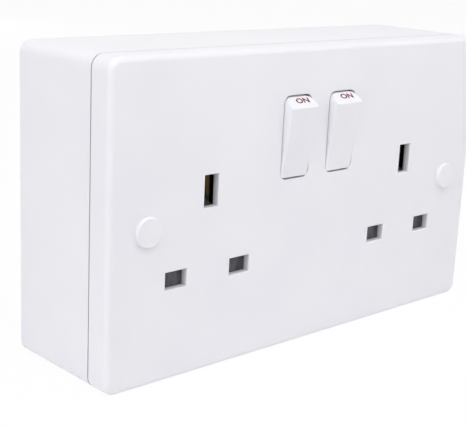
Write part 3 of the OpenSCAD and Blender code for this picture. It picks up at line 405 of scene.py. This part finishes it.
def plunger_springs():
    """Coil spring behind each plunger, along the axis of its rocker."""
    for side, sign in SIDES:
        bm = bmesh.new()
        place = rocker_place(sign) @ Matrix.Rotation(-math.pi / 2, 4, "X")
        place = place @ Matrix.Translation((0, 0, PLUNGER_COIL_START))
        coil(bm, PLUNGER_COIL_RADIUS, PLUNGER_WIRE, PLUNGER_COIL_LENGTH, PLUNGER_TURNS, place)
        spring = piece("plunger_coil_" + side, bm, spring_steel, side + "_rocker",
                       stands_for=["plunger_spring_" + side])
        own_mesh(spring)


def screw(bm, place, head_radius, head_height, shank, length, pitch, edge):
    """Slotted screw that points down from Z = 0, with its head above, then set in its place."""
    # head: a disc cut along both sides of the slot, raised to its floor, then its cheeks raised
    made = bmesh.new()
    bmesh.ops.create_circle(made, cap_ends=True, radius=head_radius, segments=HEAD_SIDES)
    for side in (-1, 1):
        bmesh.ops.bisect_plane(made, geom=made.verts[:] + made.edges[:] + made.faces[:],
                               dist=TOUCHING, plane_co=(0, side * SLOT_WIDTH / 2, 0),
                               plane_no=(0, 1, 0))
    grown = bmesh.ops.extrude_face_region(made, geom=made.faces[:])["geom"]
    bmesh.ops.translate(made, vec=(0, 0, head_height - SLOT_DEPTH), verts=points_of(grown))
    tops = [f for f in grown if isinstance(f, bmesh.types.BMFace)]
    cheeks = [f for f in tops if abs(f.calc_center_median().y) > SLOT_WIDTH / 2]
    for cheek in cheeks:
        lifted = bmesh.ops.extrude_face_region(made, geom=[cheek] + cheek.edges[:])["geom"]
        bmesh.ops.translate(made, vec=(0, 0, SLOT_DEPTH), verts=points_of(lifted))
    bmesh.ops.recalc_face_normals(made, faces=made.faces)
    rim = [e for e in made.edges if all(v.co.z > head_height - TOUCHING for v in e.verts)]
    bmesh.ops.bevel(made, geom=rim, offset=edge, offset_type="OFFSET", segments=3, profile=0.5,
                    affect="EDGES", clamp_overlap=True, material=-1)
    bmesh.ops.remove_doubles(made, verts=made.verts, dist=TOUCHING)

    # core, which starts just inside the head, and the ridge of the thread round it
    core = shank - THREAD_DEPTH * pitch
    at = Matrix.Translation((0, 0, -length / 2 + edge / 2))
    bmesh.ops.create_cone(made, cap_ends=True, cap_tris=False, segments=CORE_SIDES,
                          radius1=core * CORE_TIP, radius2=core, depth=length + edge, matrix=at)
    start, crest, end = (-length + share * pitch for share in THREAD_RIDGE)
    foot = core * THREAD_FOOT
    loop = [made.verts.new(corner) for corner in ((foot, 0, start), (shank, 0, crest), (foot, 0, end))]
    ring = [made.edges.new((loop[i], loop[(i + 1) % 3])) for i in range(3)]
    turns = (length - pitch) / pitch
    last = sweep(made, loop + ring, turns, turns * pitch, THREAD_STEPS)
    close_loop(made, ring)
    close_loop(made, last)

    bmesh.ops.transform(made, matrix=place, verts=made.verts)
    kept = bpy.data.meshes.new("screw")
    made.to_mesh(kept)
    made.free()
    bm.from_mesh(kept)
    bpy.data.meshes.remove(kept)


def screws(name, solid, sizes, spots_mm, direction):
    """Screws of one kind as one piece, their heads towards a direction along Y, slots level."""
    bm = bmesh.new()
    turn = Matrix.Rotation(-direction * math.pi / 2, 4, "X")
    for spot in spots_mm:
        screw(bm, Matrix.Translation(Vector(spot) * MM) @ turn, **sizes)
    piece(name, bm, zinc_steel, "housing", stands_for=[solid])


def legends():
    """The word ON, printed on the legend facet of each rocker."""
    along = (FACET_HIGH - FACET_LOW).normalized()
    across = Vector((1, 0, 0))
    out = across.cross(along)
    for side, sign in SIDES:
        words = bpy.data.curves.new("legend_word", "FONT")
        words.body = "ON"
        words.align_x = "CENTER"
        words.size = 1.0
        words.extrude = 0.01
        words.offset = WORD_BOLDNESS
        words.resolution_u = 6
        holder = bpy.data.objects.new("legend_word", words)
        bpy.context.scene.collection.objects.link(holder)
        bpy.context.view_layer.update()
        mesh = bpy.data.meshes.new_from_object(holder)
        bpy.data.objects.remove(holder)
        bm = bmesh.new()
        bm.from_mesh(mesh)
        bpy.data.meshes.remove(mesh)
        bmesh.ops.remove_doubles(bm, verts=bm.verts, dist=LETTER_TOUCHING)
        low = Vector([min(v.co[i] for v in bm.verts) for i in range(3)])
        high = Vector([max(v.co[i] for v in bm.verts) for i in range(3)])
        bmesh.ops.translate(bm, vec=-(low + high) / 2, verts=bm.verts)
        size = high - low
        scale = (WORD_WIDTH / size.x, WORD_HEIGHT / size.y, INK_THICKNESS / size.z)
        bmesh.ops.scale(bm, vec=scale, verts=bm.verts)
        spot = FACET_LOW + along * WORD_UP + across * WORD_SHIFT[side]
        turn = Matrix((across, along, out)).transposed().to_4x4()
        place = rocker_place(sign) @ Matrix.Translation(spot) @ turn
        bmesh.ops.transform(bm, matrix=place, verts=bm.verts)
        piece("legend_on_" + side, bm, legend_red, side + "_rocker")


# stage, light and camera

WORLD_LIGHT = 0.22
FLOOR_COLOUR = "#F4F4F6"
FLOOR_SEEN_WHITE = 0.96
FLOOR_HALF = 4.0

# name, place and aim in metres, width and height, power in watts
LAMPS = [
    ("lamp_top", (0.0, -0.10, 0.9), (0.0, -0.02, 0.0), 0.9, 0.9, 3.2),
    ("lamp_left", (-0.95, -0.1, 0.25), (0.0, -0.02, 0.0), 0.8, 0.8, 4.1),
    ("lamp_right", (0.8, -0.6, 0.3), (0.0, -0.02, 0.0), 0.8, 0.8, 2.15),
    ("lamp_near_high", (-0.15, -0.28, 0.42), (-0.02, -0.04, 0.03), 0.3, 0.3, 0.73),
    ("lamp_back", (0.12, 0.95, 0.05), (0.0, 0.0, 0.0), 0.5, 0.14, 2.4),
    ("lamp_near_front", (0.06, -0.42, 0.36), (0.02, -0.04, 0.03), 0.3, 0.3, 0.28),
]


def seen_directly(tree, most):
    """Share of the plain white that the camera, mirrors and glass see."""
    path = add(tree, "ShaderNodeLightPath")
    seen = path.outputs["Is Camera Ray"]
    for ray in ("Is Glossy Ray", "Is Transmission Ray"):
        seen = add(tree, "ShaderNodeMath", {0: seen, 1: path.outputs[ray]},
                   operation="MAXIMUM").outputs[0]
    return add(tree, "ShaderNodeMath", {0: seen, 1: most}, operation="MULTIPLY").outputs[0]


def stage_floor():
    """Pale floor under the box; the camera sees it near white, with a trace of shadow."""
    bm = bmesh.new()
    bmesh.ops.create_grid(bm, x_segments=1, y_segments=1, size=FLOOR_HALF)
    bmesh.ops.translate(bm, vec=(0, 0, solids_box[0].z), verts=bm.verts)
    mesh = bpy.data.meshes.new("floor")
    bm.to_mesh(mesh)
    bm.free()
    floor = bpy.data.objects.new("floor", mesh)
    bpy.context.scene.collection.objects.link(floor)
    material = bpy.data.materials.new("pale_floor")
    material.use_nodes = True
    tree = material.node_tree
    tree.nodes.clear()
    plain = add(tree, "ShaderNodeBsdfDiffuse", {"Color": linear(FLOOR_COLOUR)}).outputs[0]
    glow = add(tree, "ShaderNodeEmission", {"Color": WHITE, "Strength": 1.0}).outputs[0]
    share = seen_directly(tree, FLOOR_SEEN_WHITE)
    mixed = add(tree, "ShaderNodeMixShader", {0: share, 1: plain, 2: glow}).outputs[0]
    add(tree, "ShaderNodeOutputMaterial", {"Surface": mixed})
    mesh.materials.append(material)


def stage_world():
    """Even white surroundings: a plain level for the light, and white where they are seen."""
    world = bpy.data.worlds.new("studio")
    bpy.context.scene.world = world
    world.use_nodes = True
    tree = world.node_tree
    tree.nodes.clear()
    fill = add(tree, "ShaderNodeBackground", {"Color": WHITE, "Strength": WORLD_LIGHT}).outputs[0]
    white = add(tree, "ShaderNodeBackground", {"Color": WHITE, "Strength": 1.0}).outputs[0]
    share = seen_directly(tree, 1.0)
    mixed = add(tree, "ShaderNodeMixShader", {0: share, 1: fill, 2: white}).outputs[0]
    add(tree, "ShaderNodeOutputWorld", {"Surface": mixed})


def stage_lamps():
    """Soft rectangular lamps."""
    for name, spot, aim, width, height, power in LAMPS:
        lamp = bpy.data.lights.new(name, "AREA")
        lamp.shape = "RECTANGLE"
        lamp.size = width
        lamp.size_y = height
        lamp.energy = power
        holder = bpy.data.objects.new(name, lamp)
        holder.location = spot
        holder.rotation_mode = "QUATERNION"
        away = Vector(spot) - Vector(aim)
        holder.rotation_quaternion = away.to_track_quat("Z", "Y")
        bpy.context.scene.collection.objects.link(holder)


def stage_camera():
    """Camera at the photo's viewpoint."""
    azimuth, elevation, roll = (math.radians(angle) for angle in
                                (CAMERA_AZIMUTH, CAMERA_ELEVATION, CAMERA_ROLL))
    back = Vector((math.sin(azimuth) * math.cos(elevation),
                   -math.cos(azimuth) * math.cos(elevation), math.sin(elevation)))
    right = (-back).cross(Vector((0, 0, 1))).normalized()
    up = right.cross(-back)
    turned = math.cos(roll) * right + math.sin(roll) * up
    upright = math.cos(roll) * up - math.sin(roll) * right
    camera = bpy.data.cameras.new("camera")
    camera.sensor_width = SENSOR_WIDTH
    camera.lens = FOCAL_PIXELS / IMAGE_WIDTH * SENSOR_WIDTH
    camera.clip_start = 0.01
    camera.clip_end = 20.0
    holder = bpy.data.objects.new("camera", camera)
    axes = Matrix((turned, upright, back)).transposed().to_4x4()
    holder.matrix_world = Matrix.Translation(CAMERA_AIM + back * CAMERA_DISTANCE) @ axes
    bpy.context.scene.collection.objects.link(holder)
    bpy.context.scene.camera = holder


dress_solids()
shutter_springs()
plunger_springs()
screws("plate_screws", "fixing_screws", PLATE_SCREW, PLATE_SPOTS_MM, -1)
screws("cover_fixings", "cover_screws", COVER_SCREW, COVER_SPOTS_MM, 1)
screws("clamp_screws", "terminal_screws", CLAMP_SCREW, CLAMP_SPOTS_MM, 1)
legends()
stage_floor()
stage_world()
stage_lamps()
stage_camera()
bpy.context.scene.view_settings.view_transform = "Standard"
